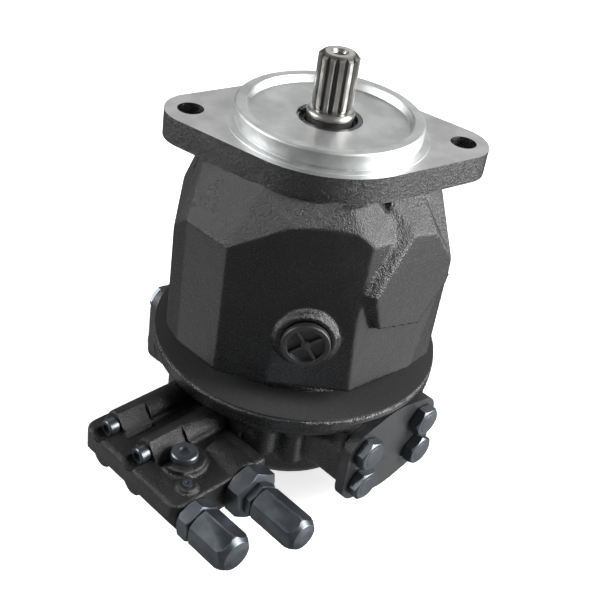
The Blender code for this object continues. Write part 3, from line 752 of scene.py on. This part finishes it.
screwSize = {"profile": [(0, 52), (6.2, 52, 0), (6.2, 43.2, 0.6), (5.6, 42.6, 0.2), (0, 42.6)], "keyR": 3.46}
heads = []
for x, y in screwSpots:
    place = Matrix.Translation((x * mm, y * mm, 0))
    head = spun("capScrew", fillet(screwSize["profile"], 0.3, 2, closed=False), 32, place)
    heads.append(combine(head, [slab("key", circle(screwSize["keyR"], 6), 40, 46.5, turn=place)]))
deliver(merge("clampScrews", heads), "bolt")
gasketSize = {"profile": [(83.9, 73.0), (83.9, 72.1), (60.6, 72.1), (60.6, 73.0)]}
deliver(spun("housingGasket", gasketSize["profile"], 96), "fibre", ["housing_gasket"])
print("port plate done")

# each cover: direction, bolt spacing, corner radius and half height at the middle, seed of the bolt turns
coverSize = {
    "b": {"angle": bAngle, "spacing": (47.6, 22.2), "corner": 13.2, "tall": 28.8, "seed": 3},
    "s": {"angle": sAngle, "spacing": (58.7, 30.2), "corner": 13.4, "tall": 30.0, "seed": 8},
}
boltSize = {
    "across": 17.0,
    "washer": [(0, 86.4), (7.9, 86.4), (7.9, 84.3, 0), (0, 84.3)],
    "dome": [(0, 91.35), (5.6, 91.2, 0.3), (6.6, 90.7, 0), (0, 90.5)],
}
for port, size in coverSize.items():
    place, spacing = facing(size["angle"], portLevel), size["spacing"]
    rim = [p for sx in (-1, 1) for sy in (-1, 1)
           for p in circle(size["corner"], 40, sx * spacing[0] / 2, sy * spacing[1] / 2)]
    rim += [(x, s * (size["tall"] - 0.012 * x * x)) for s in (-1, 1) for x in range(-12, 13, 4)]
    cover = slab(port + "PortCover", hull(rim), portFace + 0.2, portFace + 6.4, 1.1, 3, place)
    deliver(cover, "cover", [port + "_port_cover"])
    head = hexHead("head", boltSize["across"], portFace + 7.2, portFace + 13.0, 1.3)
    washer = spun("washer", fillet(boltSize["washer"], 0.3, 2, closed=False), 40)
    dome = spun("dome", fillet(boltSize["dome"], 0.4, 3, closed=False), 40)
    bolts = merge(port + "PortBolts", [head, washer, dome])
    repeat(bolts, boltPattern, SpacingX=spacing[0] * mm, SpacingY=spacing[1] * mm, Seed=size["seed"],
           Finish=looks["bolt"])
    bolts.data.transform(place)
    deliver(bolts, "bolt", [f"{port}_port_bolt_{i}" for i in range(1, 5)])
print("ports done")

# valve measures: u runs outward from the shaft, v along the spools
valveSize = {
    "section": [(71.9, 48.3, 0.6), (71.9, 27.9, 0.6), (130, 27.9, 7), (135.5, 36, 5), (135.2, 48.3, 3)],
    "plan": [(72, -25, 1), (135.6, -25, 9), (135.6, 55, 7), (72, 55, 1)],
    "ridges": (-13.0, 14.0),
    "ridgeLevel": 50.0,
    "ridgeR": 8,
    "lowRidgeR": 7.2,
    "lowRidgeLevel": 31.5,
    "flatStart": (104.0, 100.0),
    "flatLean": 38,
    "plugAt": (109.5, 30.5),
    "smallPlugAt": (120, 46),
    "spoolBosses": ((88.0, 14.5), (124.0, 11.2)),
    "voxel": 0.85,
    "rounds": 4,
}
uAxis = Vector((math.cos(math.radians(valveAngle)), math.sin(math.radians(valveAngle)), 0))
vAxis = Vector((math.cos(math.radians(bAngle)), math.sin(math.radians(bAngle)), 0))
alongV = facing(bAngle, portLevel)
across = Matrix((uAxis, Vector((0, 0, 1)), -vAxis)).transposed().to_4x4()
flat = Matrix((uAxis, vAxis, Vector((0, 0, 1)))).transposed().to_4x4()
ridgePlaces = [Matrix.Translation(vAxis * v * mm) for v in valveSize["ridges"]]
bits = [slab("valveSlab", fillet(valveSize["section"], 1, 5), -55, 25, turn=across)]
combine(bits[0], [slab("plan", fillet(valveSize["plan"], 1, 5), 20, 60, turn=flat)], "INTERSECT")
for shift in ridgePlaces:
    place = facing(valveAngle, valveSize["ridgeLevel"])
    bits.append(slab("ridge", circle(valveSize["ridgeR"], 32), 72, 122, turn=shift @ place))
    bits.append(slab("ridgeSide", [(-8, 0), (8, 0), (9.5, -6), (-9.5, -6)][::-1], 72, 120.5,
                     turn=shift @ place))
    bits.append(slab("lowRidge", circle(valveSize["lowRidgeR"], 28), 96, 131,
                     turn=shift @ facing(valveAngle, valveSize["lowRidgeLevel"])))
plugU, plugV = valveSize["plugAt"]
smallU, smallV = valveSize["smallPlugAt"]
xSpot, smallSpot = uAxis * plugU + vAxis * plugV, uAxis * smallU + vAxis * smallV
bits.append(slab("xBoss", circle(12, 40, xSpot.x, xSpot.y), 36, 52.4))
bits.append(slab("smallBoss", circle(5.5, 24, smallSpot.x, smallSpot.y), 40, 50.6))
for u, wide in valveSize["spoolBosses"]:
    bits.append(slab("spoolBoss", circle(wide * 0.92, 32), 30, 54.6,
                     turn=Matrix.Translation(uAxis * u * mm) @ alongV))
valve = cast("valveBody", bits, valveSize["voxel"], valveSize["rounds"])
cuts = [slab("valveMount", [(60, 10), (71.9, 10), (71.9, 70), (60, 70)], -60, 40, turn=across)]
for shift in ridgePlaces:
    cuts.append(slab("screwSeat", circle(5.3, 28), 122.2, 140,
                     turn=shift @ facing(valveAngle, valveSize["ridgeLevel"])))
cuts.append(slab("xSeat", circle(8.0, 32, xSpot.x, xSpot.y), 52.0, 60))
cuts.append(slab("smallSeat", circle(3.2, 20, smallSpot.x, smallSpot.y), 48.6, 60))
flatLean = math.radians(valveSize["flatLean"])
for v, start in zip(valveSize["ridges"], valveSize["flatStart"]):
    lean = vAxis * math.cos(flatLean) + Vector((0, 0, 1)) * math.sin(flatLean)
    tilt = Matrix((uAxis, lean.cross(uAxis), lean)).transposed().to_4x4()
    spot = Matrix.Translation((vAxis * v + Vector((0, 0, 50))) * mm)
    cuts.append(slab("ridgeFlat", [(start, -9), (122.1, -9), (122.1, 9), (start, 9)], 6.1, 20,
                     turn=spot @ tilt))
combine(valve, cuts)
deliver(valve, "valve", ["valve_body"], angle=40)

socketSize = {"profile": [(0, 128.3), (4.3, 128.3, 0.5), (4.8, 127.6, 0.2), (4.8, 122.3, 0), (0, 122.3)],
              "keyR": 2.9}
for i, shift in enumerate(ridgePlaces):
    place = shift @ facing(valveAngle, valveSize["ridgeLevel"])
    head = spun("valveScrew", fillet(socketSize["profile"], 0.3, 2, closed=False), 36, place)
    combine(head, [slab("key", circle(socketSize["keyR"], 6), 125, 130, turn=place)])
    deliver(head, "bolt", [f"valve_screw_{i + 1}"])

valvePlugSize = {
    "main": [(0, 54.6), (2.8, 54.6, 0.2), (3.2, 56.2, 0.3), (6.6, 56.2, 0.5), (7.5, 55.4, 0.3),
             (7.5, 52.2, 0), (0, 52.2)],
    "small": [(0, 50.4), (1.2, 50.4, 0.1), (1.4, 51.2, 0.2), (2.9, 51.2, 0.3), (2.9, 48.4, 0), (0, 48.4)],
}
plug = spun("xPortPlug", fillet(valvePlugSize["main"], 0.3, 2, closed=False), 40,
            flat @ Matrix.Translation((plugU * mm, plugV * mm, 0)))
small = spun("smallPlug", fillet(valvePlugSize["small"], 0.2, 2, closed=False), 24,
             flat @ Matrix.Translation((smallU * mm, smallV * mm, 0)))
deliver(merge("xPortPlug", [plug, small]), "bolt", ["x_port_plug"])

# each adjuster: distance out, hexagons across flats, and where along v its nut ends and its cap stands
adjusterSize = {
    "pressure": {"u": 88.0, "nut": 27.0, "nutEnd": 66.0, "cap": 18.0, "capFrom": 71.0, "capTo": 103.0},
    "flow": {"u": 124.0, "nut": 21.0, "nutEnd": 64.3 - 0.3, "cap": 20.0, "capFrom": 64.3, "capTo": 91.0},
}
for name, size in adjusterSize.items():
    nut, capFrom, capTo = size["nut"], size["capFrom"], size["capTo"]
    place = Matrix.Translation(uAxis * size["u"] * mm) @ alongV
    collar = [hexHead("nut", nut, 55.6, size["nutEnd"], 1.4, True, place),
              spun("seat", fillet([(0, 56), (nut * 0.47, 56, 0), (nut * 0.47, 55.0, 0), (0, 55.0)], 0.1, 1,
                                  closed=False), 48, place)]
    if name == "pressure":
        collar.append(hexHead("lock", 18.5, 66.2, capFrom - 0.3, 0.8, True, place))
    deliver(merge(name + "AdjusterBody", collar), "bolt", [name + "_adjuster_body"])
    corner = size["cap"] / 2 / math.cos(math.pi / 6)
    cap = slab(name + "Cap", circle(corner, 6, start=math.pi / 6), capFrom, capTo + 1, turn=place)
    trim = fillet([(0, capTo + 0.8), (corner * 0.42, capTo + 0.6, 0.5), (corner * 0.74, capTo - 0.6, 1.0),
                   (corner * 0.93, capTo - 3.6, 1.6), (corner + 0.3, capTo - 6.2, 1),
                   (corner + 0.3, capFrom + 1.2, 0), (size["cap"] / 2 * 0.97, capFrom, 0), (0, capFrom)],
                  0.5, 4, closed=False)
    combine(cap, [spun("trim", trim, 56, place)], "INTERSECT")
    deliver(cap, "bolt", [name + "_adjuster_cap"], name + "_adjuster")
print("valve done")

rollerSize = {
    "front": {"reach": 22.7, "count": 18, "tilt": 0.13, "low": 188.0, "length": 13.0, "r": 2.3},
    "rear": {"reach": 19.8, "count": 16, "tilt": -0.1, "low": 45.5, "length": 13.0, "r": 1.7},
}
for name, size in rollerSize.items():
    r, end = size["r"], size["length"] / 2
    roller = spun(name + "Rollers", fillet([(0, end), (r, end, 0.3), (r * 0.9, -end, 0.3), (0, -end)], 0.3, 2,
                                           closed=False), 20)
    repeat(roller, ringPattern, Count=size["count"], Radius=size["reach"] * mm, Tilt=size["tilt"],
           Finish=looks["steel"])
    roller.data.transform(Matrix.Translation((0, 0, (size["low"] + end) * mm)))
    deliver(roller, "steel", (), "rotating_group")

# inner solids shown as the frame holds them
bySlot = {"bright_steel": "steel", "bronze": "bronze", "machined_iron": "iron", "black_paint": "casting",
          "dark_steel": "bolt", "seal_rubber": "rubber", "plug_plastic": "plastic", "gasket_fibre": "fibre"}
slotOf = {item["node"]: item["material_slot"] for item in frame["record"]["subparts"]}
for node, obj in frame["nodes"].items():
    obj.data.materials.clear()
    obj.data.materials.append(looks[bySlot[slotOf[node]]])
print("inner solids done")

stageSize = {
    "floor": [(0, -0.6), (2950, -0.6), (2950, -4), (0, -4)],
    "floorGlow": 0.7,
    "backdrop": [(0, 2900), (1600, 2600), (2600, 1700), (2950, -5), (2960, -5), (2610, 1705), (1605, 2610),
                 (0, 2910)],
}
floorShade = Surface("floorWhite")
haze = floorShade.noise(6.0, 2.0)
floorShade.dress(Base_Color=floorShade.blend(haze, (0.8, 0.8, 0.8), (0.84, 0.84, 0.84)), Roughness=0.9,
                 Emission_Color=(1, 1, 1, 1), Emission_Strength=stageSize["floorGlow"])
floor = spun("floor", stageSize["floor"], 64)
floor.data.materials.append(floorShade.material)
floor.visible_glossy = floor.visible_shadow = False
wallShade = Surface("backdropWhite")
wallShade.dress(Base_Color=(0, 0, 0, 1), Roughness=1.0, Emission_Color=(1, 1, 1, 1), Emission_Strength=1.0)
backdrop = spun("backdrop", stageSize["backdrop"], 64)
backdrop.data.materials.append(wallShade.material)
backdrop.visible_glossy = backdrop.visible_diffuse = backdrop.visible_shadow = False

print("all pieces done")
